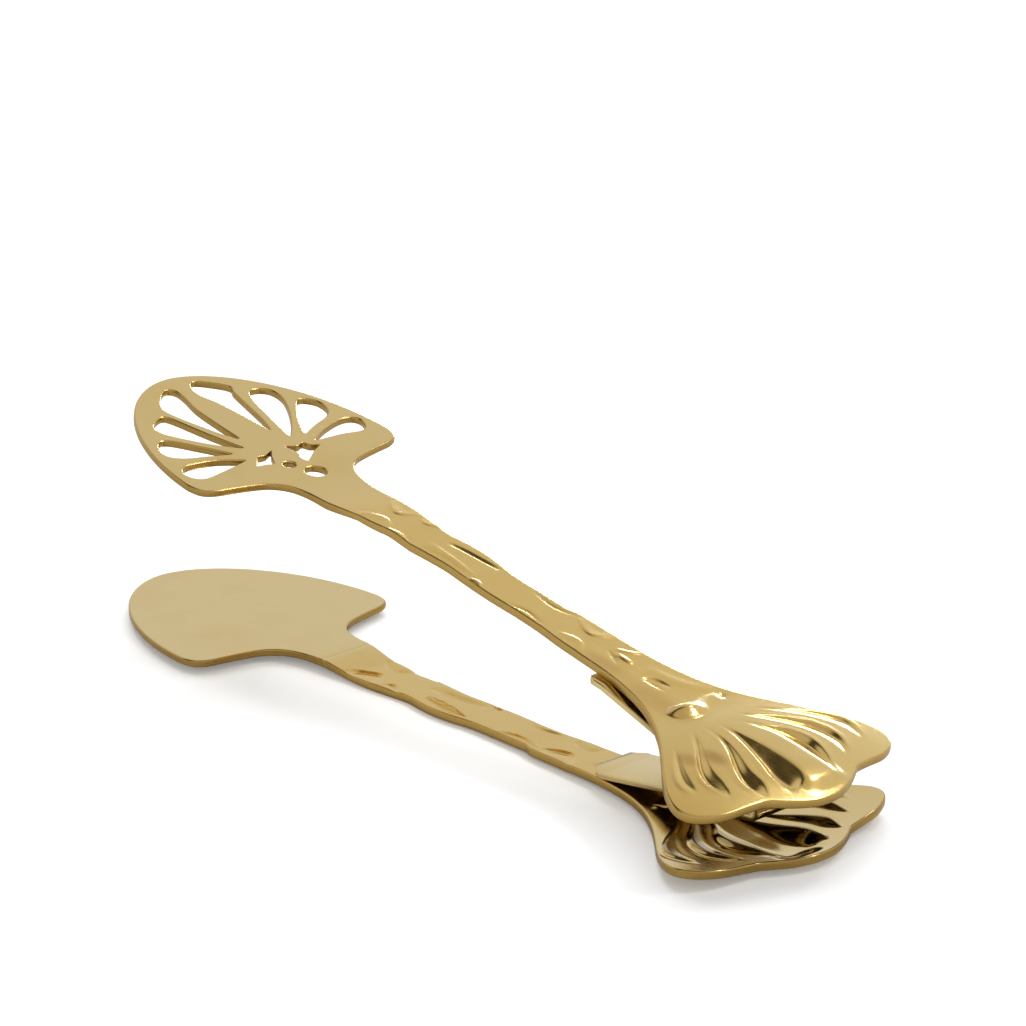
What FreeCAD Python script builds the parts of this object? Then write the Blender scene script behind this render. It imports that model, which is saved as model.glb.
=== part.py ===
import FreeCAD, Part
import math
import os
from FreeCAD import Vector

# Spring-hinged ice tongs: two mirrored pressed-brass arms joined at the rear by one bent strip.
# Working plane: X runs from the blade tip to the grip, Z is up, and the arms lie symmetric in Y.
# The lower arm is drawn first; the upper arm is its mirror image in a sloping middle plane.
# All sizes are millimetres.

# Overall
ARM_LENGTH = 175.0
TIP_GAP = 41.7             # between the two outer faces, measured square to the middle plane
MIDDLE_SLOPE = 4.815       # degrees that the middle plane falls towards the grips

# Blade
BLADE_WIDEST_X = 37.0
BLADE_HALF_WIDTH = 23.8
BLADE_FRONT_POWER = 1.85   # exponent of the rounded front's superellipse
BLADE_REAR_X = 41.6
BLADE_CORNER_R = 4.0
BLADE_THICKNESS = 1.35
SHOULDER_X = 43.4
SHOULDER_HALF_WIDTH = 10.7
NECK_X = 50.0
NECK_HALF_WIDTH = 6.0

# Handle
HANDLE_HALF_WIDTH = 5.0
HANDLE_START_X = 62.0
SHEET_THICKNESS = 1.6
STEP_START_X = 54.5        # the sheet steps outwards here, between blade and handle
STEP_DROP = 0.93
FLAT_END_X = 72.0          # from the step to here the underside is flat and rests on the table
HANDLE_RISE = 0.6          # degrees

# Fan-shaped grip
FAN_START_X = 138.0
FAN_BLEND = 12.0
FAN_CENTRE_X = 157.0
FAN_DOME_X = 16.4          # distance along the arm over which the dome falls by one millimetre
FAN_DOME_Y = 17.0          # the same across the arm
LOBE_X = 163.0
LOBE_HALF_WIDTH = 23.6
NOTCH_X = 170.2
NOTCH_Y = 10.4

# Pierced windows of the upper blade: apex, centre of the round end, and its radius
WINDOWS = (
    ((26.7, 3.7), (7.7, 5.2), 3.0),
    ((30.3, 5.2), (14.5, 12.2), 2.7),
    ((30.8, 8.3), (23.8, 16.9), 3.2),
    ((33.9, 8.2), (32.7, 18.9), 2.6),
)
STAR_CENTRES = ((36.2, 3.9), (35.8, -4.3))
STAR_POINT_R = 3.6
STAR_WAIST_R = 1.5
DRAIN_HOLES = (((43.7, 0.3), 2.0), ((40.3, -2.4), 1.3))

# Spring strip
STRIP_THICKNESS = 1.1
STRIP_HALF_WIDTH = 7.0
STRIP_TIP_HALF_WIDTH = 3.8
STRIP_TIP_X = 124.3
STRIP_TAPER = 2.5
STRIP_LIFT_X = 129.5       # the leg is welded flat on the arm up to here
STRIP_KNEE = (142.0, 3.6)  # then it rises to this knee, and runs on to the bend
BEND_X = 163.5
BEND_RADIUS = 1.35         # of the strip's middle line


def middle_height(x):
    """Height of the middle plane above the blade's inner face."""
    slope = math.radians(MIDDLE_SLOPE)
    start_x = TIP_GAP / 2 * math.sin(slope)
    start_z = TIP_GAP / 2 * math.cos(slope) - BLADE_THICKNESS
    return start_z - (x - start_x) * math.tan(slope)


def handle_height(x):
    """Height of the handle's inner face."""
    return -STEP_DROP + max(0.0, x - FLAT_END_X) * math.tan(math.radians(HANDLE_RISE))


def mirrored(shape):
    """The shape's mirror image in the middle plane, which makes the upper half of the tongs."""
    slope = math.radians(MIDDLE_SLOPE)
    base = Vector(0, 0, middle_height(0))
    return shape.mirror(base, Vector(math.sin(slope), 0, math.cos(slope)))


def extruded_profile(points, half_width):
    """A closed polygon in X and Z, extruded across Y."""
    corners = [Vector(x, -half_width, z) for x, z in points]
    face = Part.Face(Part.makePolygon(corners + corners[:1]))
    return face.extrude(Vector(0, 2 * half_width, 0))


def bent_sheet():
    """The blade and handle as one bent sheet, wider than its outline."""
    under = STEP_DROP + SHEET_THICKNESS
    rise = handle_height(FAN_START_X) + STEP_DROP
    inner = [(-2, 0), (STEP_START_X, 0), (HANDLE_START_X, -STEP_DROP), (FLAT_END_X, -STEP_DROP),
             (FAN_START_X, rise - STEP_DROP)]
    outer = [(-2, -BLADE_THICKNESS), (STEP_START_X, -BLADE_THICKNESS), (HANDLE_START_X, -under),
             (FLAT_END_X, -under), (FAN_START_X, rise - under)]
    return extruded_profile(inner + outer[::-1], LOBE_HALF_WIDTH + 4)


def dome_bulge(x, y):
    """How far the grip bulges outwards of the handle's plane at a point."""
    t = min(1.0, max(0.0, (x - FAN_START_X) / FAN_BLEND))
    blend = t * t * (3 - 2 * t)
    crown = handle_height(FAN_CENTRE_X) + STEP_DROP
    fall = ((x - FAN_CENTRE_X) / FAN_DOME_X) ** 2 + (y / FAN_DOME_Y) ** 2
    return blend * (crown - fall)


def domed_sheet():
    """The grip's sheet: a smooth shallow dome that starts flush with the handle."""
    reach = LOBE_HALF_WIDTH + 4
    rows = []
    for i in range(15):
        x = FAN_START_X + (ARM_LENGTH + 4 - FAN_START_X) * i / 14
        columns = [reach * (j / 8 - 1) for j in range(17)]
        rows.append([Vector(x, y, handle_height(x) - dome_bulge(x, y)) for y in columns])
    surface = Part.BSplineSurface()
    surface.interpolate(rows)
    return surface.toShape().extrude(Vector(0, 0, -SHEET_THICKNESS))


def spline(points):
    """An edge through the given plan points."""
    curve = Part.BSplineCurve()
    curve.interpolate([Vector(x, y, 0) for x, y in points])
    return curve.toShape()


def blade_front():
    """The rounded front of the blade, from one widest point round the tip to the other."""
    points = []
    for i in range(-12, 13):
        turn = math.pi / 2 * i / 12
        across = math.copysign(abs(math.sin(turn)) ** (2 / BLADE_FRONT_POWER), turn)
        along = 1 - math.cos(turn) ** (2 / BLADE_FRONT_POWER)
        points.append((BLADE_WIDEST_X * along, BLADE_HALF_WIDTH * across))
    return spline(points)


def arm_outline():
    """The plan outline of one arm as a closed wire."""
    side = [
        [(BLADE_WIDEST_X, BLADE_HALF_WIDTH), (BLADE_REAR_X - 1.0, BLADE_HALF_WIDTH - 2.2),
         (BLADE_REAR_X, BLADE_HALF_WIDTH - BLADE_CORNER_R - 1.4)],
        [(BLADE_REAR_X, BLADE_HALF_WIDTH - BLADE_CORNER_R - 1.4), (SHOULDER_X, SHOULDER_HALF_WIDTH)],
        [(SHOULDER_X, SHOULDER_HALF_WIDTH), (SHOULDER_X + 2.0, NECK_HALF_WIDTH + 1.4),
         (NECK_X, NECK_HALF_WIDTH)],
        [(NECK_X, NECK_HALF_WIDTH), (HANDLE_START_X, HANDLE_HALF_WIDTH)],
        [(HANDLE_START_X, HANDLE_HALF_WIDTH), (FAN_START_X - 13, HANDLE_HALF_WIDTH)],
        [(FAN_START_X - 13, HANDLE_HALF_WIDTH), (132, 5.9), (140, 8.3), (148, 13.2), (155, 18.8),
         (160, 22.5), (LOBE_X + 1, LOBE_HALF_WIDTH), (167, 22.0), (169.3, 17.5), (NOTCH_X, NOTCH_Y)],
        [(NOTCH_X, NOTCH_Y), (173.2, 6.5), (ARM_LENGTH, 0), (173.2, -6.5), (NOTCH_X, -NOTCH_Y)],
    ]
    edges = [blade_front()]
    for points in side[:-1]:
        edges.append(spline(points))
        edges.append(spline([(x, -y) for x, y in points]))
    edges.append(spline(side[-1]))
    return Part.Wire(Part.__sortEdges__(edges))


def prism(wire):
    """A wire in the XY plane as a tall prism that passes through the whole arm."""
    face = Part.Face(wire)
    face.translate(Vector(0, 0, -10))
    return face.extrude(Vector(0, 0, 30))


def plain_arm():
    """One arm of the tongs: blade, handle and grip pressed from one sheet."""
    sheet = bent_sheet().fuse(domed_sheet())
    arm = sheet.common(prism(arm_outline()))
    return arm.removeSplitter().Solids[0]


def window(apex, centre, radius):
    """A drop-shaped opening: two straight sides from the apex to a round end."""
    gap_x = centre[0] - apex[0]
    gap_y = centre[1] - apex[1]
    distance = math.hypot(gap_x, gap_y)
    heading = math.atan2(gap_y, gap_x)
    reach = math.acos(radius / distance)
    points = []
    for angle in (heading + math.pi - reach, heading, heading + math.pi + reach):
        points.append(Vector(centre[0] + radius * math.cos(angle), centre[1] + radius * math.sin(angle), 0))
    tip = Vector(apex[0], apex[1], 0)
    edges = [Part.LineSegment(tip, points[0]).toShape(), Part.Arc(*points).toShape(),
             Part.LineSegment(points[2], tip).toShape()]
    return Part.Wire(edges)


def star(centre):
    """A small four-pointed star opening."""
    corners = []
    for i in range(8):
        angle = math.radians(20 + 45 * i)
        r = STAR_WAIST_R if i % 2 else STAR_POINT_R
        corners.append(Vector(centre[0] + r * math.cos(angle), centre[1] + r * math.sin(angle), 0))
    return Part.makePolygon(corners + corners[:1])


def pierced(arm):
    """The arm with the openings of the upper blade cut through it."""
    cutters = []
    for apex, centre, radius in WINDOWS:
        for side in (1, -1):
            cutters.append(prism(window((apex[0], side * apex[1]), (centre[0], side * centre[1]), radius)))
    for centre in STAR_CENTRES:
        cutters.append(prism(star(centre)))
    for (x, y), radius in DRAIN_HOLES:
        cutters.append(Part.makeCylinder(radius, 30, Vector(x, y, -10)))
    for cutter in cutters:
        arm = arm.cut(cutter)
    return arm.Solids[0]


def tangent_point():
    """Where the lower leg of the strip runs into the bend: a point, and the bend's centre."""
    centre = (BEND_X, middle_height(BEND_X))
    gap_x = centre[0] - STRIP_KNEE[0]
    gap_z = centre[1] - STRIP_KNEE[1]
    distance = math.hypot(gap_x, gap_z)
    heading = math.atan2(gap_z, gap_x) - math.asin(BEND_RADIUS / distance)
    point = (centre[0] + BEND_RADIUS * math.sin(heading), centre[1] - BEND_RADIUS * math.cos(heading))
    return point, centre


def mitred(points, offset):
    """A line of points moved sideways by offset, with mitred corners."""
    headings = [math.atan2(b[1] - a[1], b[0] - a[0]) for a, b in zip(points, points[1:])]
    moved = []
    for i, (x, z) in enumerate(points):
        before = headings[max(0, i - 1)]
        after = headings[min(i, len(headings) - 1)]
        normal = (before + after) / 2 + math.pi / 2
        length = offset / math.cos((after - before) / 2)
        moved.append((x + length * math.cos(normal), z + length * math.sin(normal)))
    return moved


def strip_leg():
    """The strip's lower leg, from its tapered end on the arm to the bend."""
    half = STRIP_THICKNESS / 2
    line = [(STRIP_TIP_X, handle_height(STRIP_TIP_X) + half),
            (STRIP_LIFT_X, handle_height(STRIP_LIFT_X) + half), STRIP_KNEE, tangent_point()[0]]
    leg = extruded_profile(mitred(line, -half) + mitred(line, half)[::-1], STRIP_HALF_WIDTH)
    tip = [Vector(STRIP_TIP_X - 1, STRIP_TIP_HALF_WIDTH, 0), Vector(STRIP_TIP_X, STRIP_TIP_HALF_WIDTH, 0),
           Vector(STRIP_TIP_X + STRIP_TAPER, STRIP_HALF_WIDTH, 0), Vector(BEND_X + 9, STRIP_HALF_WIDTH, 0)]
    ring = tip + [Vector(p.x, -p.y, 0) for p in tip[::-1]]
    return leg.common(prism(Part.makePolygon(ring + ring[:1]))).Solids[0]


def strip_bend():
    """The round bend that joins the two legs."""
    start, centre = tangent_point()
    down = math.atan2(start[1] - centre[1], start[0] - centre[0])
    towards_grip = -math.radians(MIDDLE_SLOPE)
    up = 2 * towards_grip - down
    rings = []
    for r in (BEND_RADIUS + STRIP_THICKNESS / 2, BEND_RADIUS - STRIP_THICKNESS / 2):
        arc = [Vector(centre[0] + r * math.cos(a), -STRIP_HALF_WIDTH, centre[1] + r * math.sin(a))
               for a in (down, towards_grip, up)]
        rings.append(arc)
    outer, inner = rings
    edges = [Part.Arc(*outer).toShape(), Part.LineSegment(outer[2], inner[2]).toShape(),
             Part.Arc(*inner[::-1]).toShape(), Part.LineSegment(inner[0], outer[0]).toShape()]
    return Part.Face(Part.Wire(edges)).extrude(Vector(0, 2 * STRIP_HALF_WIDTH, 0))


def make_nodes():
    """Every node, moved so that the origin is the middle of the base of the whole object."""
    arm = plain_arm()
    leg = strip_leg()
    nodes = {
        "lower_arm": arm,
        "upper_arm": mirrored(pierced(arm)),
        "spring_lower_leg": leg,
        "spring_bend": strip_bend(),
        "spring_upper_leg": mirrored(leg),
    }
    box = Part.makeCompound(list(nodes.values())).optimalBoundingBox(False, False)
    for shape in nodes.values():
        shape.translate(Vector(-(box.XMin + box.XMax) / 2, 0, -box.ZMin))
    return nodes, box


def main():
    os.makedirs("parts", exist_ok=True)
    nodes, box = make_nodes()
    for name, shape in nodes.items():
        shape.exportStep("parts/" + name + ".step")
        print(name, "valid", shape.isValid(), "volume", round(shape.Volume, 1))
    centre = tangent_point()[1]
    print("size", round(box.XLength, 2), round(box.YLength, 2), round(box.ZLength, 2))
    print("bend centre x", round(centre[0] - (box.XMin + box.XMax) / 2, 3), "z", round(centre[1] - box.ZMin, 3))


main()
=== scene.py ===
import math

import bpy
import numpy as np
from mathutils import Euler, Matrix, Vector
from mathutils.geometry import delaunay_2d_cdt


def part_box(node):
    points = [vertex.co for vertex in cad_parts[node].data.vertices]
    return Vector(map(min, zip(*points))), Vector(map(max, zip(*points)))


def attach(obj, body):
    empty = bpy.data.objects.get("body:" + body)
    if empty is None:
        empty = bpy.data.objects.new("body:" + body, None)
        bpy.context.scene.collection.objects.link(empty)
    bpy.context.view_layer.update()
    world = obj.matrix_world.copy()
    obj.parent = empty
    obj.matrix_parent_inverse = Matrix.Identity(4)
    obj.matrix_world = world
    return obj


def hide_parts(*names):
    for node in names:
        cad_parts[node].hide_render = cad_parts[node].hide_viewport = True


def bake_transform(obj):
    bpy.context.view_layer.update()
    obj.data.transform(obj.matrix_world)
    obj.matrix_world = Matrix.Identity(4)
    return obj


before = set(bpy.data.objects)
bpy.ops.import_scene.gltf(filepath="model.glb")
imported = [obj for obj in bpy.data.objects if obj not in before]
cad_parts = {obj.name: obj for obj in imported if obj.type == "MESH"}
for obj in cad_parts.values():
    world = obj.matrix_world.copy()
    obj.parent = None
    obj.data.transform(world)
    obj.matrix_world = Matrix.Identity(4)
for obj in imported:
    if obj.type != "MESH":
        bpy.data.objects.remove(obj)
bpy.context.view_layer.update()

# Brass ice tongs: two pressed arms from one die, the upper one pierced, and one bent spring strip.
# Shapes are drawn in millimetres in the drawing frame of one arm: x runs from the blade tip to the
# grip, y across, and z up from the blade's inner face. place_lower() and place_upper() carry them
# into the row frame, in metres.

MM = 0.001
ARM_LOW, ARM_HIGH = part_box("lower_arm")
TIP_X = ARM_LOW.x
GROUND = ARM_LOW.z

# Side shape of one arm
MIDDLE_SLOPE = math.radians(4.815)  # the middle plane falls towards the grips
TIP_GAP = 41.7
BLADE_THICKNESS = 1.35
SHEET_THICKNESS = 1.6
STEP_START_X = 54.5
STEP_END_X = 62.0
STEP_DROP = 0.93
SOFT_STEP_START_X = 47.0   # the outer face takes the step over a longer way
SOFT_STEP_END_X = 71.0
FLAT_END_X = 72.0
HANDLE_RISE = math.tan(math.radians(0.6))
BLADE_INNER = STEP_DROP + SHEET_THICKNESS   # height of the blade's inner face above the table

# Grip dome
FAN_START_X = 138.0
FAN_BLEND = 12.0
FAN_CENTRE_X = 157.0
FAN_DOME_X = 16.4
FAN_DOME_Y = 17.0

# Blade front: a superellipse
BLADE_LENGTH = 37.0
BLADE_HALF_WIDTH = 23.8
BLADE_FRONT_POWER = 1.85

# Mesh
EDGE_RADIUS = 0.34
STAR_EDGE_RADIUS = 0.16
EDGE_STEPS = 4
EDGE_SPACING = 0.42
BLADE_GRID = 0.9
HANDLE_GRID = 0.32
GRIP_GRID = 0.26
HANDLE_START_X = 53.0
GRIP_START_X = 139.0
MESH_END_X = 176.0
MESH_HALF_WIDTH = 24.0
FACE_INSET = 1.4           # the face's plain mesh starts this many edge radii from the outline
CLEARANCE = 0.17           # least gap between a grid point and an edge point

# Outline beyond the blade's front, in stretches between corners: far side, then near side
FAR_SIDE = (
    ((37, 23.8), (39.6, 22.9), (41.0, 20.6), (41.6, 17.6), (42.6, 13.2), (43.8, 9.9), (46.3, 7.4),
     (50, 6.0), (54.5, 5.4), (60, 5.2), (65.5, 5.0), (71, 4.4), (76, 3.95), (80, 4.5), (84, 4.8),
     (88, 4.6), (93, 3.95), (98, 3.9), (104, 4.0), (107.6, 4.1), (109.2, 4.7), (117, 4.9),
     (125, 5.1), (131, 5.8), (136, 6.9), (140, 8.4), (144, 10.5), (148, 13.2), (152, 16.5),
     (156, 20.0), (160, 22.9), (163.8, 24.2), (167.0, 23.0), (169.3, 19.0), (170.1, 14.2), (170.6, 10.8)),
    ((170.6, 10.8), (172.2, 8.4), (173.8, 5.4), (174.8, 2.4), (175, 0)),
)
NEAR_SIDE = (
    ((37, -23.8), (39.6, -22.9), (41.0, -20.6), (41.6, -17.6), (42.6, -13.2), (43.8, -10.1),
     (46.3, -7.7), (50, -6.6), (54.5, -6.3), (58, -5.9), (61.5, -5.5), (65.5, -5.2), (70, -4.7),
     (75, -4.9), (79, -4.4), (84, -4.0), (88, -4.2), (93, -4.5), (98, -4.5), (103, -4.3),
     (109, -4.4), (114, -4.8), (120, -5.0), (126, -5.2), (131, -5.8), (136, -6.9), (140, -8.4),
     (144, -10.5), (148, -13.2), (152, -16.5), (156, -20.0), (160, -22.9), (163.8, -24.2),
     (167.0, -23.0), (169.3, -19.0), (170.1, -14.2), (170.6, -10.8)),
    ((170.6, -10.8), (172.2, -8.4), (173.8, -5.4), (174.8, -2.4), (175, 0)),
)

# Openings of the upper blade: each is a smooth loop that starts and ends at its sharp apex
WINDOWS = (
    ((26.7, 3.7), (19.6, 3.1), (13.1, 2.4), (9.0, 1.4), (6.0, 1.7), (3.4, 3.5), (5.0, 6.0), (8.4, 8.6),
     (10.6, 7.7), (17, 6.3), (22.5, 5.1), (26.7, 3.7)),
    ((30.3, 5.3), (22.5, 7.1), (14.5, 9.2), (11.6, 11.2), (12.6, 14.2), (16.4, 14.5), (21, 12.4),
     (26.2, 8.9), (30.3, 5.3)),
    ((30.8, 8.4), (25.3, 11.4), (20.4, 15.1), (18.9, 17.1), (20.9, 19.2), (24.4, 19.0), (26.9, 16.8),
     (28.6, 12.7), (30.8, 8.4)),
    ((33.8, 8.3), (31.2, 12.9), (29.5, 18.0), (29.8, 20.9), (32, 21.4), (34.7, 19.3), (34.0, 14.2),
     (33.8, 8.3)),
    ((26.8, -3.7), (19.6, -3.6), (13.1, -3.2), (8.0, -2.0), (4.9, -1.8), (3.9, -3.2), (6.2, -6.0),
     (9.8, -8.4), (13.6, -8.2), (19.5, -6.5), (24, -5.0), (26.8, -3.7)),
    ((30.1, -5.4), (22.5, -7.7), (13.8, -9.8), (12.7, -11.1), (14.7, -14.3), (17.6, -14.9), (21, -13.1),
     (26.2, -9.2), (30.1, -5.3)),
    ((30.9, -8.6), (25.6, -12.3), (20.6, -16.3), (22.0, -18.9), (25.5, -19.8), (27.8, -17.6),
     (29.2, -13.5), (30.9, -8.6)),
    ((34, -8.1), (31.4, -13.2), (30.6, -18.2), (31.4, -20.7), (34, -21.4), (36.0, -19.5), (35.5, -15.2),
     (34, -8.1)),
)
STARS = (
    ((35.6, 8.1), (34.7, 6.2), (33.3, 5.8), (34.1, 4.0), (32.9, 1.6), (34.4, 2.0), (36.3, 2.4),
     (38.2, 1.3), (39.8, 1.6), (38.6, 3.4), (37.0, 5.4)),
    ((33.0, -1.4), (34.9, -2.9), (37.9, -4.5), (37.1, -6.0), (37.0, -8.0), (35.4, -6.6),
     (34.0, -5.5), (34.2, -3.6)),
)
ROUND_HOLES = (((43.7, 0.3), 2.0), ((39.2, -2.2), 1.2))

# The lower arm's inner face: a crease across its neck, and handle strokes made deeper by the gain
CREASE_X = 54.4
CREASE_DEPTH = 0.11
CREASE_WIDTH = 0.36
INNER_GAIN = 1.0
INNER_GAIN_END_X = 117.0
INNER_GAIN_BLEND = 5.0

# Spring strip
STRIP_THICKNESS = 1.1
STRIP_GAP = 0.02           # keeps its face clear of the arm's
STRIP_HALF_WIDTH = 6.2
STRIP_TIP_HALF_WIDTH = 4.2
STRIP_TIP_X = 124.3
STRIP_TAPER = 2.4
STRIP_SKEW = 0.8           # the strip crosses the arms' axis at a slight angle
STRIP_LIFT_X = 127.6
STRIP_KNEE = (143.0, 2.75)
BEND_X = 163.5
BEND_RADIUS = 1.35

# Stamped lines of the handle: points, fall on the left and on the right of the line's direction
# (small is a sharp edge), and height; a negative height is pressed in
STROKES = (
    (((60.1, 5.0), (61.6, 2.6), (64.0, 1.2), (65.8, 1.1), (67.9, 3.6)), 1.3, 0.26, 0.20),
    (((69.3, 3.4), (71.1, 2.6), (73.9, 4.2)), 1.0, 0.25, 0.15),
    (((61.0, -4.6), (62.9, -3.1), (65.6, -2.1), (67.6, -2.8), (69.2, -4.5)), 0.26, 1.3, 0.18),
    (((67.8, -5.2), (70.0, -4.2), (72.2, -4.0), (75.5, -5.0)), 0.28, 1.0, 0.16),
    (((78.6, 1.5), (82.0, 2.1), (86.0, 2.5), (90.8, 2.9)), 0.40, 0.24, -0.40),
    (((76.6, -1.3), (83.2, -1.5), (91.0, -2.5)), 0.30, 1.2, 0.13),
    (((76.6, -3.9), (83.2, -3.1), (92.1, -3.4)), 0.9, 2.0, -0.10),
    (((90.2, -3.9), (91.8, -3.4), (93.4, -3.8)), 0.3, 0.5, 0.22),
    (((99.3, 3.1), (103.1, 2.4), (105.8, 2.3), (110.0, 3.4)), 0.40, 0.24, -0.19),
    (((100.4, -4.1), (104.2, -3.0), (109.1, -3.7)), 0.40, 0.24, -0.18),
    (((110.6, 3.4), (114.1, 1.5), (116.6, 1.5), (119.4, 4.6)), 1.3, 0.26, 0.19),
    (((112.4, -3.0), (115.2, -2.0), (117.4, -2.2), (119.2, -4.3)), 0.26, 1.2, 0.17),
    (((121.6, 1.5), (124.0, 2.9), (125.6, 4.6)), 0.35, 0.5, 0.20),
    (((121.4, 0.2), (123.4, -0.6), (125.8, -1.7)), 0.35, 0.26, -0.20),
    (((123.2, 0.6), (125.2, 0.5), (127.2, 0.5)), 0.6, 0.45, 0.26),
    (((131.5, -1.3), (133.1, 0.3), (136.3, 0.9)), 0.26, 0.7, -0.24),
    (((131.5, -1.3), (134.0, -1.2), (136.6, -1.0)), 0.6, 0.26, -0.16),
    (((129.4, 2.0), (133.5, 2.6), (137.0, 4.0), (140.6, 6.9)), 1.1, 1.3, 0.14),
)

STROKES_END_X = 148.0

# The boss at the root of the grip: points across the arm with their radius and height
BOSS = (((142.6, -5.3), 0.7, 0.35), ((143.3, -4.1), 1.4, 1.10), ((143.8, -2.6), 1.8, 1.45),
        ((143.9, -1.1), 1.7, 1.10), ((143.5, 0.6), 1.6, 0.50), ((142.9, 2.5), 1.5, 0.32),
        ((142.5, 4.3), 1.3, 0.28), ((142.2, 5.6), 0.9, 0.20))
BOSS_DIMPLE = ((142.6, 6.6), 0.7, 0.35)

# Grooves between the petals, on the far side (1) and on the near side (-1): outer edge, inner edge
# and depth, with y counted away from the axis
GROOVES = (
    (1, ((147.2, 5.9), (150.8, 11.5), (153.4, 15.8), (156.0, 19.0), (158.8, 20.4), (162.2, 19.9),
         (165.0, 18.4)),
     ((147.2, 5.9), (151.6, 11.2), (154.9, 14.7), (158.7, 17.3), (162.2, 18.2), (165.0, 18.4)), 0.42),
    (1, ((148.4, 3.4), (151.4, 7.4), (154.4, 11.1), (157.3, 13.6), (161.3, 14.8), (164.8, 13.9),
         (168.2, 11.2)),
     ((148.4, 3.4), (153.7, 7.6), (157.8, 10.4), (161.8, 11.6), (165.4, 11.7), (168.2, 11.2)), 0.56),
    (1, ((149.3, 1.0), (154.0, 4.8), (157.0, 7.5), (160.1, 8.9), (163.2, 9.0), (167.6, 7.3),
         (171.6, 5.2)),
     ((149.3, 1.0), (153.2, 3.2), (156.8, 4.3), (161.0, 4.8), (166.4, 5.0), (171.6, 5.2)), 0.90),
    (-1, ((149.4, 1.5), (153.6, 2.1), (157.6, 2.9), (162.6, 4.4), (166.6, 5.7), (171.2, 5.3)),
     ((149.4, 1.5), (154.6, 0.6), (159.6, -0.4), (165.0, -0.7), (169.4, 1.0), (171.2, 5.3)), 1.25),
    (-1, ((147.8, 4.2), (152.8, 4.9), (157.2, 6.7), (162.1, 9.6), (165.9, 10.9), (169.8, 10.0)),
     ((147.8, 4.2), (153.0, 4.1), (158.0, 5.2), (163.0, 6.9), (167.0, 7.6), (169.8, 10.0)), 1.05),
    (-1, ((148.0, 6.0), (153.4, 10.4), (158.3, 14.3), (162.1, 15.8), (167.0, 15.2)),
     ((148.0, 6.0), (154.0, 9.2), (159.0, 12.0), (163.0, 13.2), (167.0, 15.2)), 0.90),
    (-1, ((149.6, 11.4), (154.6, 16.1), (159.3, 19.1), (163.4, 19.2)),
     ((149.6, 11.4), (155.2, 15.0), (160.0, 17.4), (163.4, 19.2)), 0.35),
)
GROOVE_WALL = 0.8          # least width of a groove's steep outer wall
GROOVE_WALL_SHARE = 0.26   # its share of the groove where that is wider
NEAR_ROUNDNESS = 1.0       # how round the inner walls of the near grooves are; the far ones are straight
LIP_HEIGHT = 0.10
LIP_WIDTH = 0.55
PETAL_AXIS_Y = 2.0
PETAL_RISE = 0.25
PETAL_START_X = 147.0
PETAL_BLEND = 18.0
PETAL_TOE_RISE = 0.45
PETAL_TOE_START_X = 161.0
PETAL_TOE_BLEND = 8.0
PETAL_END_X = 174.4
PETAL_END_BLEND = 4.2
PETAL_HALF_WIDTH = 5.5

# The grip's pattern is laid out on a fine grid and worn smooth
PATTERN_LOW = (137.5, -26.0)
PATTERN_HIGH = (177.5, 26.0)
PATTERN_GRID = 0.16
PATTERN_WEAR = 0.24

# Where the brass is golden, and where shade is painted dark into the colour between the grips
GILDING_START = (50.0, 16.0)   # start and length of the change, along x
GILDING_END = (136.0, 12.0)
PAINTED_SHADE_START = (136.0, 10.0)
STRIP_PAINTED_SHADE_START = (134.0, 10.0)
STRIP_PAINTED_SHADE = (0.9, 0.2)      # on the faces towards the arms, and on those inside the bend
GROOVE_BACK_PAINTED_SHADE = 0.6       # on the lower grip, over the backs of the grooves
GROOVE_BACK_HEIGHT = 0.3

# Brown stains on the outer face: centre, length, width and strength
STAINS = (((124.3, -3.5), 5.0, 1.6, 0.30), ((137.2, -4.7), 7.0, 3.0, 0.28),
          ((157.3, -9.6), 2.6, 1.5, 0.55), ((155.1, -13.6), 2.2, 1.5, 0.40))


# ---- curves -------------------------------------------------------------------------------------

def catmull(points, per_span=12):
    """A smooth curve through the points, which are its ends and its shape."""
    p = np.array(points, float)
    p = np.vstack([2 * p[0] - p[1], p, 2 * p[-1] - p[-2]])
    t = np.linspace(0, 1, per_span, endpoint=False)[:, None]
    spans = []
    for a, b, c, d in zip(p, p[1:], p[2:], p[3:]):
        spans.append(0.5 * (2 * b + (c - a) * t + (2 * a - 5 * b + 4 * c - d) * t ** 2
                            + (3 * b - a - 3 * c + d) * t ** 3))
    return np.vstack(spans + [p[-2:-1]])


def resampled(line, spacing):
    """The line with points an even distance apart, close to spacing."""
    run = np.concatenate([[0], np.cumsum(np.linalg.norm(np.diff(line, axis=0), axis=1))])
    count = max(3, int(round(run[-1] / spacing)) + 1)
    at = np.linspace(0, run[-1], count)
    return np.stack([np.interp(at, run, line[:, i]) for i in range(line.shape[1])], 1)


def closed_loop(stretches, spacing):
    """One closed loop from smooth stretches that meet end to end."""
    return np.vstack([resampled(catmull(s), spacing)[:-1] for s in stretches])


def softened(loop, rounds):
    """The loop with its corners worn round."""
    for _ in range(rounds):
        loop = 0.5 * loop + 0.25 * (np.roll(loop, 1, 0) + np.roll(loop, -1, 0))
    return loop


def circle(centre, radius, spacing):
    count = int(2 * math.pi * radius / spacing)
    turn = np.arange(count) * 2 * math.pi / count
    return np.stack([centre[0] + radius * np.cos(turn), centre[1] + radius * np.sin(turn)], 1)


def area(loop):
    x, y = loop.T
    return 0.5 * float(np.sum(x * np.roll(y, -1) - np.roll(x, -1) * y))


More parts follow.
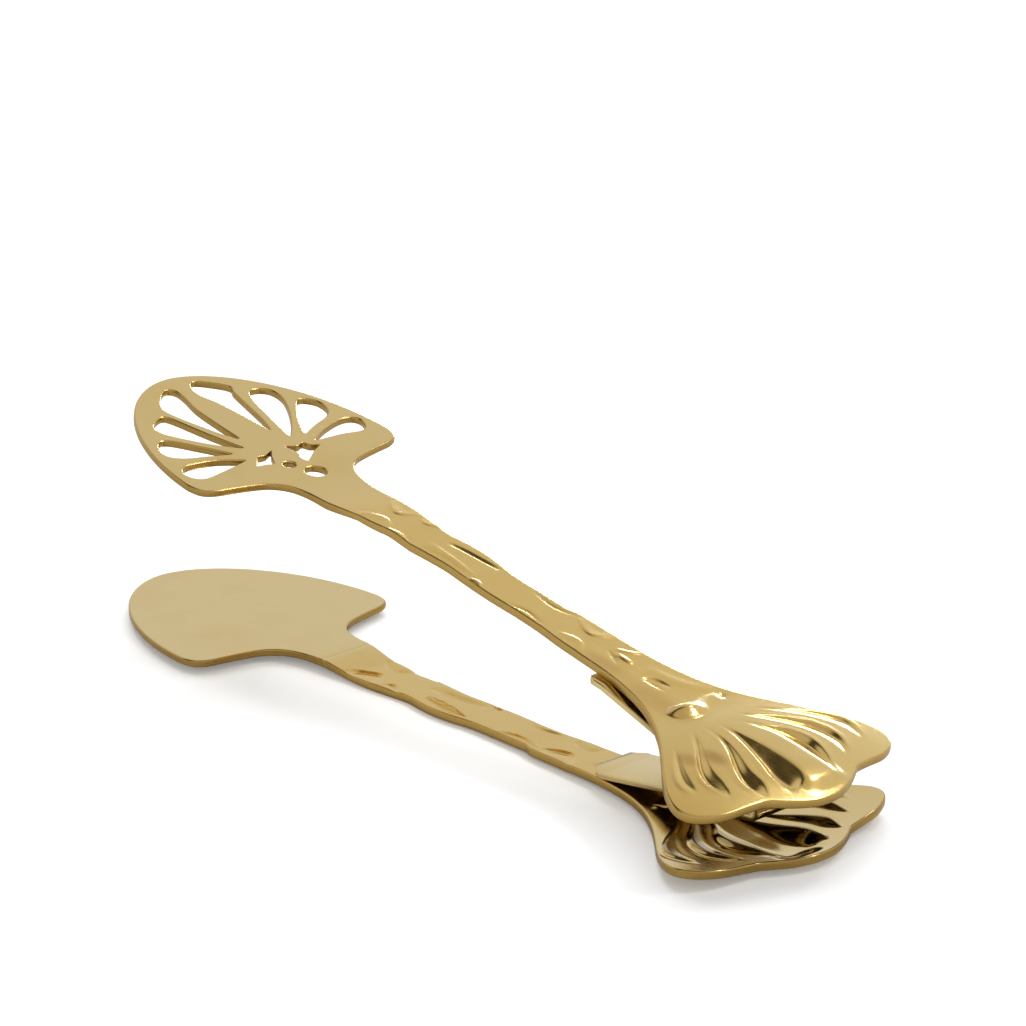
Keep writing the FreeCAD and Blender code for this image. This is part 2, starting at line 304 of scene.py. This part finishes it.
def blade_front(side):
    """The rounded front of the blade from the tip to its widest point on one side."""
    turn = np.linspace(0, math.pi / 2, 40)
    x = BLADE_LENGTH * (1 - np.cos(turn) ** (2 / BLADE_FRONT_POWER))
    y = side * BLADE_HALF_WIDTH * np.sin(turn) ** (2 / BLADE_FRONT_POWER)
    return np.stack([x, y], 1)


def arm_outline():
    """The outline of an arm, anticlockwise."""
    near = np.vstack([blade_front(-1), catmull(NEAR_SIDE[0])[1:]])
    far = np.vstack([blade_front(1), catmull(FAR_SIDE[0])[1:]])
    centre = np.vstack([catmull(NEAR_SIDE[1]), catmull(FAR_SIDE[1])[::-1][1:]])
    parts = [near, centre, far[::-1]]
    loop = np.vstack([resampled(part, EDGE_SPACING)[:-1] for part in parts])
    return softened(loop, 3)


def arm_holes():
    """The loops of the openings in the upper blade, clockwise, each with its edge radius."""
    loops = [(softened(closed_loop([w], EDGE_SPACING), 2), EDGE_RADIUS) for w in WINDOWS]
    for corners in STARS:
        ring = np.array(corners + corners[:1], float)
        loops.append((softened(resampled_corners(ring, EDGE_SPACING * 0.6), 4), STAR_EDGE_RADIUS))
    loops += [(circle(c, r, EDGE_SPACING * 0.8), EDGE_RADIUS) for c, r in ROUND_HOLES]
    return [(loop if area(loop) < 0 else loop[::-1], r) for loop, r in loops]


def resampled_corners(ring, spacing):
    """A closed polygon with points along its straight sides."""
    return np.vstack([resampled(np.array([a, b]), spacing)[:-1] for a, b in zip(ring, ring[1:])])


def inset(loop, distance):
    """The loop moved to its left, which is into the sheet."""
    along = np.roll(loop, -1, 0) - np.roll(loop, 1, 0)
    along /= np.linalg.norm(along, axis=1)[:, None]
    return loop + distance * np.stack([-along[:, 1], along[:, 0]], 1)


def inside(points, loops):
    """Whether each point lies inside the outline and outside its holes."""
    odd = np.zeros(len(points), bool)
    for loop in loops:
        for (x0, y0), (x1, y1) in zip(loop, np.roll(loop, -1, 0)):
            crosses = (y0 > points[:, 1]) != (y1 > points[:, 1])
            if crosses.any():
                at = x0 + (points[:, 1] - y0) * (x1 - x0) / (y1 - y0 + 1e-12)
                odd ^= crosses & (points[:, 0] < at)
    return odd


# ---- heights ------------------------------------------------------------------------------------

def smoothstep(t):
    t = np.clip(t, 0, 1)
    return t * t * (3 - 2 * t)


def middle_height(x):
    """Height of the middle plane over the blade's inner face."""
    start_x = TIP_GAP / 2 * math.sin(MIDDLE_SLOPE)
    start_z = TIP_GAP / 2 * math.cos(MIDDLE_SLOPE) - BLADE_THICKNESS
    return start_z - (x - start_x) * math.tan(MIDDLE_SLOPE)


def handle_height(x):
    """Height of the handle's inner face."""
    return -STEP_DROP + np.maximum(0.0, np.asarray(x, float) - FLAT_END_X) * HANDLE_RISE


def sheet_height(x):
    """Height of the inner face of the bent sheet, blade and handle."""
    step = np.clip((x - STEP_START_X) / (STEP_END_X - STEP_START_X), 0, 1)
    step = 0.25 * smoothstep(step) + 0.75 * step
    return np.where(x < STEP_END_X, -STEP_DROP * step, handle_height(x))


def outer_sheet_height(x):
    """The same for the outer face before the sheet's thickness is taken: the step is rounder here."""
    step = smoothstep((x - SOFT_STEP_START_X) / (SOFT_STEP_END_X - SOFT_STEP_START_X))
    return np.where(x < SOFT_STEP_END_X, -STEP_DROP * step, handle_height(x))


def thickness(x):
    step = np.clip((x - STEP_START_X) / (STEP_END_X - STEP_START_X), 0, 1)
    return BLADE_THICKNESS + (SHEET_THICKNESS - BLADE_THICKNESS) * step


def dome(x, y):
    """How far the grip bulges outwards of the handle's plane."""
    crown = handle_height(FAN_CENTRE_X) + STEP_DROP
    fall = ((x - FAN_CENTRE_X) / FAN_DOME_X) ** 2 + (y / FAN_DOME_Y) ** 2
    return smoothstep((x - FAN_START_X) / FAN_BLEND) * (crown - fall)


def stroke(p, points, left, right, height):
    """Height at points p of a line in relief that fades at its two ends."""
    line = resampled(catmull(points), 0.35)
    reach = 2.5 * max(left, right)
    low, high = line.min(0) - reach, line.max(0) + reach
    near = np.flatnonzero(((p > low) & (p < high)).all(1))
    out = np.zeros(len(p))
    q = p[near]
    a, ab = line[:-1], np.diff(line, axis=0)
    t = np.clip(((q[:, None] - a) * ab).sum(2) / (ab ** 2).sum(1), 0, 1)
    gap = q[:, None] - (a + t[..., None] * ab)
    square = (gap ** 2).sum(2)
    best = square.argmin(1)
    pick = np.arange(len(q))
    gap, t, ab = gap[pick, best], t[pick, best], ab[best]
    side = ab[:, 0] * gap[:, 1] - ab[:, 1] * gap[:, 0]
    width = np.where(side > 0, left, right)
    run = (best + t) / len(a)
    fade = np.clip(np.sin(math.pi * np.clip(run, 0, 1)), 0, 1) ** 0.55
    out[near] = height * fade * np.exp(-square[pick, best] / width ** 2)
    return out


def boss(p):
    """The curled boss: a string of round bumps that melt together, and a dimple at its end."""
    line = catmull([(c[0], c[1], r, h) for c, r, h in BOSS], 8)
    gap = ((p[:, None, :] - line[None, :, :2]) ** 2).sum(2)
    rise = (line[:, 3] * np.exp(-(gap / line[:, 2] ** 2) ** 1.4)).max(1)
    centre, radius, depth = BOSS_DIMPLE
    return rise - depth * np.exp(-((p - centre) ** 2).sum(1) / radius ** 2)


def groove(p, outer, inner, depth, roundness):
    """A lens-shaped groove with a steep outer wall, a gentle inner one and a low lip outside."""
    outer, inner = catmull(outer), catmull(inner)
    x, y = p.T
    top = np.interp(x, outer[:, 0], outer[:, 1])
    bottom = np.interp(x, inner[:, 0], inner[:, 1])
    width = top - bottom
    widest = (np.interp(inner[:, 0], outer[:, 0], outer[:, 1]) - inner[:, 1]).max()
    along = (x > outer[0, 0]) & (x < outer[-1, 0]) & (width > 0.02)
    share = np.clip(width / widest, 0, 1)
    wall = np.minimum(np.maximum(GROOVE_WALL, GROOVE_WALL_SHARE * width), 0.6 * width)
    steep = smoothstep((top - y) / np.maximum(wall, 0.01))
    gentle = np.clip((y - bottom) / np.maximum(width - wall, 0.01), 0, 1)
    gentle += roundness * (smoothstep(gentle) - gentle)
    lip = LIP_HEIGHT * share * np.exp(-((y - top - LIP_WIDTH / 2) / LIP_WIDTH) ** 2)
    return np.where(along, lip - depth * share * np.minimum(steep, gentle), 0.0)


def petals(p):
    """The grip's grooves and the raised petal between the middle two."""
    x, y = p.T
    rise = np.zeros(len(p))
    for side, outer, inner, depth in GROOVES:
        rise += groove(p * (1, side), outer, inner, depth, NEAR_ROUNDNESS if side < 0 else 0.0)
    along = PETAL_RISE * smoothstep((x - PETAL_START_X) / PETAL_BLEND)
    along += PETAL_TOE_RISE * smoothstep((x - PETAL_TOE_START_X) / PETAL_TOE_BLEND)
    across = np.clip(1 - ((y - PETAL_AXIS_Y) / PETAL_HALF_WIDTH) ** 2, 0, 1)
    return rise + along * smoothstep((PETAL_END_X - x) / PETAL_END_BLEND) * smoothstep(across)


def worn_pattern():
    """Heights of the grip's pattern on a fine grid, with all its corners worn round."""
    x, y = (np.arange(low, high, PATTERN_GRID) for low, high in zip(PATTERN_LOW, PATTERN_HIGH))
    p = np.stack(np.meshgrid(x, y, indexing="ij"), -1).reshape(-1, 2)
    height = (petals(p) + boss(p)).reshape(len(x), len(y))
    reach = int(3 * PATTERN_WEAR / PATTERN_GRID) + 1
    kernel = np.exp(-0.5 * (np.arange(-reach, reach + 1) * PATTERN_GRID / PATTERN_WEAR) ** 2)
    kernel /= kernel.sum()
    for axis in (0, 1):
        height = np.apply_along_axis(np.convolve, axis, height, kernel, mode="same")
    return height


GRIP_PATTERN = worn_pattern()


def pattern_height(p):
    """The worn pattern at points p, between the points of its grid."""
    at = (p - PATTERN_LOW) / PATTERN_GRID
    cell = np.clip(at.astype(int), 0, np.array(GRIP_PATTERN.shape) - 2)
    (i, j), (u, v) = cell.T, (at - cell).T
    low = GRIP_PATTERN[i, j] * (1 - v) + GRIP_PATTERN[i, j + 1] * v
    high = GRIP_PATTERN[i + 1, j] * (1 - v) + GRIP_PATTERN[i + 1, j + 1] * v
    return low * (1 - u) + high * u


def relief(p):
    """Height of the stamped pattern, outwards, at points (x, y)."""
    rise = np.zeros(len(p))
    handle = np.flatnonzero((p[:, 0] > HANDLE_START_X) & (p[:, 0] < STROKES_END_X))
    for points, left, right, height in STROKES:
        rise[handle] += stroke(p[handle], points, left, right, height)
    grip = np.flatnonzero(p[:, 0] > PATTERN_LOW[0] + 1)
    rise[grip] += pattern_height(p[grip])
    return rise


# ---- arm meshes ---------------------------------------------------------------------------------

def inner_points(loops, keep_clear):
    """Grid points inside the loops: coarse on the blade, fine where the sheet is stamped."""
    rows = []
    bands = ((BLADE_GRID, 0, HANDLE_START_X), (HANDLE_GRID, HANDLE_START_X, GRIP_START_X),
             (GRIP_GRID, GRIP_START_X, MESH_END_X))
    for spacing, start, end in bands:
        step_y = spacing * math.sqrt(3) / 2
        for j, y in enumerate(np.arange(-MESH_HALF_WIDTH, MESH_HALF_WIDTH, step_y)):
            x = np.arange(start + (j % 2) * spacing / 2 + spacing / 2, end, spacing)
            rows.append(np.stack([x, np.full(len(x), y)], 1))
    points = np.vstack(rows)
    points = points[inside(points, loops)]
    edge = np.vstack(loops)
    cell = {}
    for x, y in edge:
        cell.setdefault((int(x // 2), int(y // 2)), []).append((x, y))
    kept = []
    for x, y in points:
        cx, cy = int(x // 2), int(y // 2)
        near = [q for i in (-1, 0, 1) for j in (-1, 0, 1) for q in cell.get((cx + i, cy + j), ())]
        if near:
            gaps = np.array(near) - (x, y)
            if (gaps ** 2).sum(1).min() < keep_clear ** 2:
                continue
        kept.append((x, y))
    return np.array(kept)


def face_mesh(loops):
    """Triangles over the sheet inside the loops: all points, with the loops first, and the triangles."""
    extra = inner_points(loops, CLEARANCE)
    points = np.vstack(loops + [extra])
    edges, start = [], 0
    for loop in loops:
        n = len(loop)
        edges += [(start + i, start + (i + 1) % n) for i in range(n)]
        start += n
    found = delaunay_2d_cdt([Vector(p) for p in points], edges, [], 0, 1e-6)
    made, triangles, origin = found[0], np.array(found[2]), found[3]
    back = {i: src[0] for i, src in enumerate(origin) if src}
    if len(back) != len(made) or len(set(back.values())) != len(points):
        raise ValueError("the outline crosses itself")
    triangles = np.vectorize(back.get)(triangles)
    middle = points[triangles].mean(1)
    return points, triangles[inside(middle, loops)]


def tint(mesh, name, values):
    """One number for each point of the mesh, for the material."""
    mesh.attributes.new(name, "FLOAT", "POINT").data.foreach_set("value", np.asarray(values, np.float32))


def change(x, start_and_length):
    """Smooth rise from 0 to 1 along the tongs."""
    start, length = start_and_length
    return smoothstep((x - start) / length)


def gilding(x, outside):
    """How rich the brass looks: pale on the blade's inner face, golden on the handle."""
    grip = change(x, GILDING_END)
    handle = change(x, GILDING_START) * (1 - grip)
    return np.clip(0.40 * outside + (0.95 - 0.25 * outside) * handle + 0.30 * grip * outside, 0, 1)


def stain(p):
    """Strength of the brown stains at points p."""
    total = np.zeros(len(p))
    for centre, length, width, strength in STAINS:
        gap = (p - centre) / (length, width)
        total += strength * np.exp(-(gap ** 2).sum(1) ** 1.5)
    return total


def arm_mesh(name, holes, place, worn_flat):
    """A stamped arm as one closed mesh with rounded edges."""
    loops = [(arm_outline(), EDGE_RADIUS)] + holes
    turns = [math.pi / 2 * k / EDGE_STEPS for k in range(EDGE_STEPS + 1)]
    insets = [1 - math.cos(a) for a in turns] + [FACE_INSET]
    drops = [1 - math.sin(a) for a in turns] + [0.0]
    ring_loops = [[inset(loop, r * d) for loop, r in loops] for d in insets]
    radius = np.concatenate([np.full(len(loop), r) for loop, r in loops])
    plan, triangles = face_mesh(ring_loops[-1])
    ring_plan = [np.vstack(r) for r in ring_loops[:-1]]

    def heights(p, drop):
        x, y = p.T
        rise = relief(p) + dome(x, y)
        inner = sheet_height(x) - rise
        if worn_flat:
            crease = CREASE_DEPTH * np.exp(-((x - CREASE_X) / CREASE_WIDTH) ** 2)
            gain = INNER_GAIN * (1 - smoothstep((x - INNER_GAIN_END_X) / INNER_GAIN_BLEND))
            inner -= crease + gain * relief(p)
        outer = outer_sheet_height(x) - rise - thickness(x)
        if worn_flat:
            outer = np.maximum(outer, -BLADE_INNER)
        return inner - drop, outer + drop

    verts, tags = [], []
    layers = []
    for face in (0, 1):
        ids = []
        for p, drop in zip(ring_plan, drops):
            z = heights(p, drop * radius)[face]
            tags.append(np.full(len(p), 1.0 - insets[len(ids)]))
            ids.append(sum(len(v) for v in verts))
            verts.append(np.column_stack([p, z]))
        z = heights(plan, 0.0)[face]
        ids.append(sum(len(v) for v in verts))
        verts.append(np.column_stack([plan, z]))
        tags.append(np.zeros(len(plan)))
        layers.append(ids)
    verts = np.vstack(verts)
    faces = []
    sizes = [len(loop) for loop, _ in loops]

    def band(a, b, flip):
        start = 0
        for n in sizes:
            for i in range(n):
                j = (i + 1) % n
                quad = (a + start + i, a + start + j, b + start + j, b + start + i)
                faces.append(quad[::-1] if flip else quad)
            start += n

    for face, ids in enumerate(layers):
        for a, b in zip(ids, ids[1:]):
            band(a, b, face == 1)
        grid = triangles + ids[-1]
        faces.extend(map(tuple, grid if face == 0 else grid[:, ::-1]))
    band(layers[1][0], layers[0][0], False)
    mesh = bpy.data.meshes.new(name)
    mesh.from_pydata((place(verts) * MM).tolist(), [], [tuple(f[::-1]) for f in faces])
    mesh.update()
    mesh.shade_smooth()
    outside = np.repeat((0, 1), len(verts) // 2)
    tint(mesh, "cut_edge", np.concatenate(tags))
    tint(mesh, "gilding", gilding(verts[:, 0], outside))
    tint(mesh, "stain", outside * stain(verts[:, :2]) if holes else 0 * outside)
    # Painted shade: the upper arm's inner face goes dark towards its grip, and the lower grip darkens
    # over the backs of its grooves, standing for the shade and dark reflections in the gap between the
    # grips
    groove_back = GROOVE_BACK_PAINTED_SHADE * smoothstep(-relief(verts[:, :2]) / GROOVE_BACK_HEIGHT)
    strength = 1.0 if holes else groove_back
    tint(mesh, "painted_shade", (1 - outside) * strength * change(verts[:, 0], PAINTED_SHADE_START))
    piece = bpy.data.objects.new(name, mesh)
    bpy.context.scene.collection.objects.link(piece)
    return piece


def to_row(v):
    """Drawing frame to row frame, both in millimetres."""
    return v + (TIP_X / MM, 0, GROUND / MM + BLADE_INNER)


def mirrored(v):
    """Mirror image in the middle plane of the tongs."""
    normal = np.array([math.sin(MIDDLE_SLOPE), 0, math.cos(MIDDLE_SLOPE)])
    base = np.array([0, 0, middle_height(0.0)])
    return v - 2 * ((v - base) @ normal)[:, None] * normal


def place_lower(v):
    """The lower arm is the same stamping turned over, so its pattern runs the other way across."""
    return to_row(v * (1, -1, 1))


def place_upper(v):
    return to_row(mirrored(v))


# ---- spring strip -------------------------------------------------------------------------------

def strip_line():
    """The strip's middle line from the tip of its lower leg to the top of the bend, in (x, z)."""
    half = STRIP_THICKNESS / 2 + STRIP_GAP
    centre = np.array([BEND_X, middle_height(BEND_X)])
    gap = centre - STRIP_KNEE
    heading = math.atan2(gap[1], gap[0]) - math.asin(BEND_RADIUS / np.linalg.norm(gap))
    knee = np.array(STRIP_KNEE)
    tangent = centre + BEND_RADIUS * np.array([math.sin(heading), -math.cos(heading)])
    start = np.array([STRIP_LIFT_X, float(handle_height(STRIP_LIFT_X)) + half])
    flat = [(STRIP_TIP_X + d, float(handle_height(STRIP_TIP_X + d)) + half) for d in (0, 0.8, 1.6, 2.4)]
    lift = [start + (knee - start) * t for t in (0, 0.08, 0.3, 0.5, 0.7, 0.92)]
    leg = [knee + (tangent - knee) * t for t in (0.08, 0.3, 0.5, 0.7, 0.93)]
    turn = np.linspace(heading - math.pi / 2, -MIDDLE_SLOPE, 13)
    bend = [centre + BEND_RADIUS * np.array([math.cos(a), math.sin(a)]) for a in turn]
    return np.vstack([flat, lift, leg, bend])


def strip_section(half_width, corner=0.22, steps=3):
    """A rounded rectangle across the strip: offsets across (y) and through its thickness."""
    half = STRIP_THICKNESS / 2
    ring = []
    for sy, sz, start in ((1, 1, 0), (-1, 1, 90), (-1, -1, 180), (1, -1, 270)):
        for k in range(steps + 1):
            a = math.radians(start + 90 * k / steps)
            ring.append((sy * (half_width - corner) + corner * math.cos(a),
                         sz * (half - corner) + corner * math.sin(a)))
    return np.array(ring)


def strip_mesh():
    line = strip_line()
    twin = mirrored(np.column_stack([line[:, 0], np.zeros(len(line)), line[:, 1]]))[:, (0, 2)][::-1]
    line = np.vstack([line, twin[1:]])
    along = np.gradient(line, axis=0)
    along /= np.linalg.norm(along, axis=1)[:, None]
    across = np.stack([-along[:, 1], along[:, 0]], 1)
    run = np.concatenate([[0], np.cumsum(np.linalg.norm(np.diff(line, axis=0), axis=1))])
    skew = STRIP_SKEW * (1 - 2 * run / run[-1])
    taper = np.clip((line[:, 0] - STRIP_TIP_X) / STRIP_TAPER, 0, 1)
    half_width = STRIP_TIP_HALF_WIDTH + (STRIP_HALF_WIDTH - STRIP_TIP_HALF_WIDTH) * taper
    verts, count = [], None
    for i, (x, z) in enumerate(line):
        ring = strip_section(half_width[i])
        count = len(ring)
        verts += [(x + across[i, 0] * t, y + skew[i], z + across[i, 1] * t) for y, t in ring]
    faces = []
    for i in range(len(line) - 1):
        for k in range(count):
            j = (k + 1) % count
            faces.append((i * count + k, i * count + j, (i + 1) * count + j, (i + 1) * count + k))
    faces.append(tuple(range(count))[::-1])
    last = (len(line) - 1) * count
    faces.append(tuple(range(last, last + count)))
    verts = np.array(verts)
    mesh = bpy.data.meshes.new("spring_strip")
    mesh.from_pydata((to_row(verts) * MM).tolist(), [], faces)
    mesh.update()
    mesh.shade_smooth()
    # Painted shade where the strip lies between the grips: strong on the faces towards the arms, light on
    # the others
    towards_arm = np.tile(strip_section(1.0)[:, 1] < 0, len(line))
    strength = np.where(towards_arm, *STRIP_PAINTED_SHADE)
    tint(mesh, "painted_shade", strength * change(verts[:, 0], STRIP_PAINTED_SHADE_START))
    piece = bpy.data.objects.new("spring_strip", mesh)
    bpy.context.scene.collection.objects.link(piece)
    return piece


# ---- materials ----------------------------------------------------------------------------------

PALE = (0.87, 0.68, 0.315)
GOLDEN = (0.87, 0.625, 0.22)
RAW_EDGE = (0.42, 0.26, 0.067)
GOLDEN_EDGE = (0.62, 0.41, 0.125)
STAIN = (0.42, 0.20, 0.04)
TARNISH = (0.80, 0.52, 0.15)
# Painted shade: the dark colour laid on the faces inside the gap between the grips
PAINTED_SHADE = (0.14, 0.10, 0.045)   # dark tone between the grips


def brass(name, roughness, handle_roughness, grain_scale):
    """Polished brass, richer on the handle, with raw cut edges, faint tarnish, stains, grain and painted
    shade between the grips.
    """
    material = bpy.data.materials.new(name)
    material.use_nodes = True
    nodes, links = material.node_tree.nodes, material.node_tree.links
    shader = nodes["Principled BSDF"]
    shader.inputs["Metallic"].default_value = 1.0
    place = nodes.new("ShaderNodeTexCoord")

    def noise(scale, detail, vector):
        made = nodes.new("ShaderNodeTexNoise")
        made.inputs["Scale"].default_value = scale
        made.inputs["Detail"].default_value = detail
        links.new(vector, made.inputs["Vector"])
        return made.outputs["Fac"]

    def attribute(of):
        made = nodes.new("ShaderNodeAttribute")
        made.attribute_name = of
        return made.outputs["Fac"]

    def to_range(value, low, high, to_low, to_high):
        made = nodes.new("ShaderNodeMapRange")
        for socket, number in zip(made.inputs[1:5], (low, high, to_low, to_high)):
            socket.default_value = number
        links.new(value, made.inputs["Value"])
        return made.outputs["Result"]

    def mixed(factor, first, second):
        made = nodes.new("ShaderNodeMixRGB")
        links.new(factor, made.inputs["Fac"])
        for socket, colour in ((made.inputs["Color1"], first), (made.inputs["Color2"], second)):
            if isinstance(colour, tuple):
                socket.default_value = (*colour, 1)
            else:
                links.new(colour, socket)
        return made.outputs["Color"]

    def plus(first, second):
        made = nodes.new("ShaderNodeMath")
        links.new(first, made.inputs[0])
        links.new(second, made.inputs[1])
        return made.outputs["Value"]

    stretch = nodes.new("ShaderNodeMapping")
    stretch.inputs["Scale"].default_value = grain_scale
    links.new(place.outputs["Object"], stretch.inputs["Vector"])
    grain = noise(1.0, 4.0, stretch.outputs["Vector"])
    patches = noise(85.0, 3.0, place.outputs["Object"])
    gilded, edge = attribute("gilding"), attribute("cut_edge")
    colour = mixed(gilded, PALE, GOLDEN)
    colour = mixed(to_range(patches, 0.50, 0.80, 0.0, 0.35), colour, TARNISH)
    colour = mixed(attribute("stain"), colour, STAIN)
    # Painted shade in the gap between the grips
    colour = mixed(attribute("painted_shade"), colour, PAINTED_SHADE)
    colour = mixed(edge, colour, mixed(gilded, RAW_EDGE, GOLDEN_EDGE))
    rough = to_range(gilded, 0.0, 1.0, roughness, handle_roughness)
    rough = plus(rough, to_range(grain, 0.3, 0.7, -0.03, 0.05))
    rough = plus(rough, to_range(edge, 0.0, 1.0, 0.0, 0.14))
    bump = nodes.new("ShaderNodeBump")
    bump.inputs["Strength"].default_value = 0.12
    bump.inputs["Distance"].default_value = 0.00003
    links.new(grain, bump.inputs["Height"])
    links.new(colour, shader.inputs["Base Color"])
    links.new(rough, shader.inputs["Roughness"])
    links.new(bump.outputs["Normal"], shader.inputs["Normal"])
    return material


# ---- stage --------------------------------------------------------------------------------------

LIGHT_DISTANCE = 1.3
FLOOR_HALF_SIZE = 4.0
FLOOR_COLOUR = (0.90, 0.92, 0.96, 1)
FLOOR_GLOW = 0.20
FLOOR_IN_METAL = (0.60, 0.60, 0.60, 1)   # the floor's colour as the brass reflects it
CAMERA_PLACE = (0.5184, -0.4668, 0.2889)
CAMERA_AZIMUTH = 47.35
CAMERA_ELEVATION = 19.75
CAMERA_ROLL = 0.15
CAMERA_LENS = 149.3
CAMERA_SENSOR = 36.0


def aim(obj, at):
    obj.rotation_euler = (Vector(at) - obj.location).to_track_quat("-Z", "Y").to_euler()


def area_light(name, direction, size, power):
    """A soft box that shows in the metal."""
    light = bpy.data.lights.new(name, "AREA")
    light.shape = "RECTANGLE"
    light.size, light.size_y = size
    light.energy = power
    box = bpy.data.objects.new(name, light)
    box.location = Vector(direction).normalized() * LIGHT_DISTANCE
    box.visible_camera = False
    bpy.context.scene.collection.objects.link(box)
    aim(box, (0, 0, 0))
    return box


def soft_sun(name, direction, strength, width):
    """Wide light from above that only lays the shadows on the floor."""
    light = bpy.data.lights.new(name, "SUN")
    light.energy = strength
    light.angle = math.radians(width)
    sun = bpy.data.objects.new(name, light)
    sun.location = Vector(direction)
    sun.visible_glossy = False
    bpy.context.scene.collection.objects.link(sun)
    aim(sun, (0, 0, 0))


def make_floor():
    mesh = bpy.data.meshes.new("floor")
    r = FLOOR_HALF_SIZE
    corners = [(-r, -r, GROUND), (r, -r, GROUND), (r, r, GROUND), (-r, r, GROUND)]
    mesh.from_pydata(corners, [], [(0, 1, 2, 3)])
    floor = bpy.data.objects.new("floor", mesh)
    bpy.context.scene.collection.objects.link(floor)
    material = bpy.data.materials.new("floor_paper")
    material.use_nodes = True
    shader = material.node_tree.nodes["Principled BSDF"]
    shader.inputs["Base Color"].default_value = FLOOR_COLOUR
    shader.inputs["Roughness"].default_value = 0.9
    shader.inputs["Specular IOR Level"].default_value = 0.1
    shader.inputs["Emission Color"].default_value = (1, 1, 1, 1)
    shader.inputs["Emission Strength"].default_value = FLOOR_GLOW
    nodes, links = material.node_tree.nodes, material.node_tree.links
    dark = nodes.new("ShaderNodeBsdfDiffuse")
    dark.inputs["Color"].default_value = FLOOR_IN_METAL
    path = nodes.new("ShaderNodeLightPath")
    choice = nodes.new("ShaderNodeMixShader")
    links.new(path.outputs["Is Glossy Ray"], choice.inputs["Fac"])
    links.new(shader.outputs["BSDF"], choice.inputs[1])
    links.new(dark.outputs["BSDF"], choice.inputs[2])
    links.new(choice.outputs["Shader"], nodes["Material Output"].inputs["Surface"])
    mesh.materials.append(material)


# The studio's light by the sine of its elevation
SKY = ((0.00, (0.70, 0.70, 0.70)), (0.24, (0.69, 0.69, 0.69)), (0.56, (0.65, 0.64, 0.62)),
       (0.80, (0.60, 0.56, 0.48)), (1.00, (0.50, 0.46, 0.38)))
# A dark gap between two ceiling panels, by the components of direction: it runs along y
GAP_COLOUR = (0.05, 0.042, 0.03)
GAP_X = ((-0.64, 0), (-0.54, 1), (-0.32, 1), (-0.20, 0))
GAP_Y = (0.42, 0.24)
GAP_Z = (0.30, 0.50)


def make_world():
    """A studio room lit by its walls and by two ceiling panels with a dark gap between them."""
    world = bpy.data.worlds.new("studio")
    world.use_nodes = True
    nodes, links = world.node_tree.nodes, world.node_tree.links
    place = nodes.new("ShaderNodeTexCoord")
    split = nodes.new("ShaderNodeSeparateXYZ")
    links.new(place.outputs["Generated"], split.inputs["Vector"])

    def ramp(value, stops):
        made = nodes.new("ShaderNodeValToRGB")
        elements = made.color_ramp.elements
        elements[0].position, elements[1].position = stops[0][0], stops[-1][0]
        for position, _ in stops[1:-1]:
            elements.new(position)
        for element, (_, colour) in zip(elements, stops):
            element.color = (*colour, 1)
        links.new(value, made.inputs["Fac"])
        return made.outputs["Color"]

    def to_unit(value, low, high):
        made = nodes.new("ShaderNodeMapRange")
        made.inputs["From Min"].default_value = low
        made.inputs["From Max"].default_value = high
        links.new(value, made.inputs["Value"])
        return made.outputs["Result"]

    def times(first, second):
        made = nodes.new("ShaderNodeMath")
        made.operation = "MULTIPLY"
        links.new(first, made.inputs[0])
        links.new(second, made.inputs[1])
        return made.outputs["Value"]

    across = ramp(to_unit(split.outputs["X"], -1, 1), [((x + 1) / 2, (level,) * 3) for x, level in GAP_X])
    gap = times(across, times(to_unit(split.outputs["Y"], *GAP_Y), to_unit(split.outputs["Z"], *GAP_Z)))
    mix = nodes.new("ShaderNodeMixRGB")
    mix.inputs["Color2"].default_value = (*GAP_COLOUR, 1)
    links.new(gap, mix.inputs["Fac"])
    links.new(ramp(split.outputs["Z"], SKY), mix.inputs["Color1"])
    links.new(mix.outputs["Color"], nodes["Background"].inputs["Color"])
    bpy.context.scene.world = world


def make_camera():
    """A long lens from the grip end, a little above the tongs."""
    data = bpy.data.cameras.new("camera")
    data.lens = CAMERA_LENS
    data.sensor_width = CAMERA_SENSOR
    camera = bpy.data.objects.new("camera", data)
    bpy.context.scene.collection.objects.link(camera)
    azimuth, elevation, roll = map(math.radians, (CAMERA_AZIMUTH, CAMERA_ELEVATION, CAMERA_ROLL))
    turn = Euler((math.pi / 2 - elevation, 0, azimuth)).to_matrix() @ Euler((0, 0, roll)).to_matrix()
    camera.matrix_world = Matrix.Translation(CAMERA_PLACE) @ turn.to_4x4()
    data.clip_start = 0.01
    data.clip_end = 20
    bpy.context.scene.camera = camera


# ---- build --------------------------------------------------------------------------------------

arm_brass = brass("polished_brass", 0.09, 0.20, (700, 5000, 5000))
strip_brass = brass("spring_brass", 0.16, 0.20, (500, 6000, 6000))

arm_lower = arm_mesh("arm_lower", [], place_lower, True)
arm_upper = arm_mesh("arm_upper", arm_holes(), place_upper, False)
strip = strip_mesh()
for piece, material in ((arm_lower, arm_brass), (arm_upper, arm_brass), (strip, strip_brass)):
    piece.data.materials.append(material)

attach(arm_lower, "lower")
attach(arm_upper, "upper")
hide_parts("lower_arm")
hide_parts("upper_arm")
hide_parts("spring_lower_leg", "spring_bend", "spring_upper_leg")

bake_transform(strip)

make_floor()
make_world()
make_camera()
soft_sun("overhead", (-0.45, 0.36, 0.82), 1.8, 50)
back_panel = area_light("back_panel", (-0.52, 0.85, 0.15), (0.60, 0.19), 5.5)
# The low panel lights only the upper arm, since it would turn the lower grip white
upper_only = bpy.data.collections.new("lit_by_back_panel")
upper_only.objects.link(arm_upper)
back_panel.light_linking.receiver_collection = upper_only
area_light("boss_glint", (0.42, 0.44, 0.78), (0.22, 0.22), 2.5)
area_light("toe_glint", (-0.10, 0.59, 0.79), (0.16, 0.16), 1.2)
bpy.context.scene.view_settings.view_transform = "Standard"
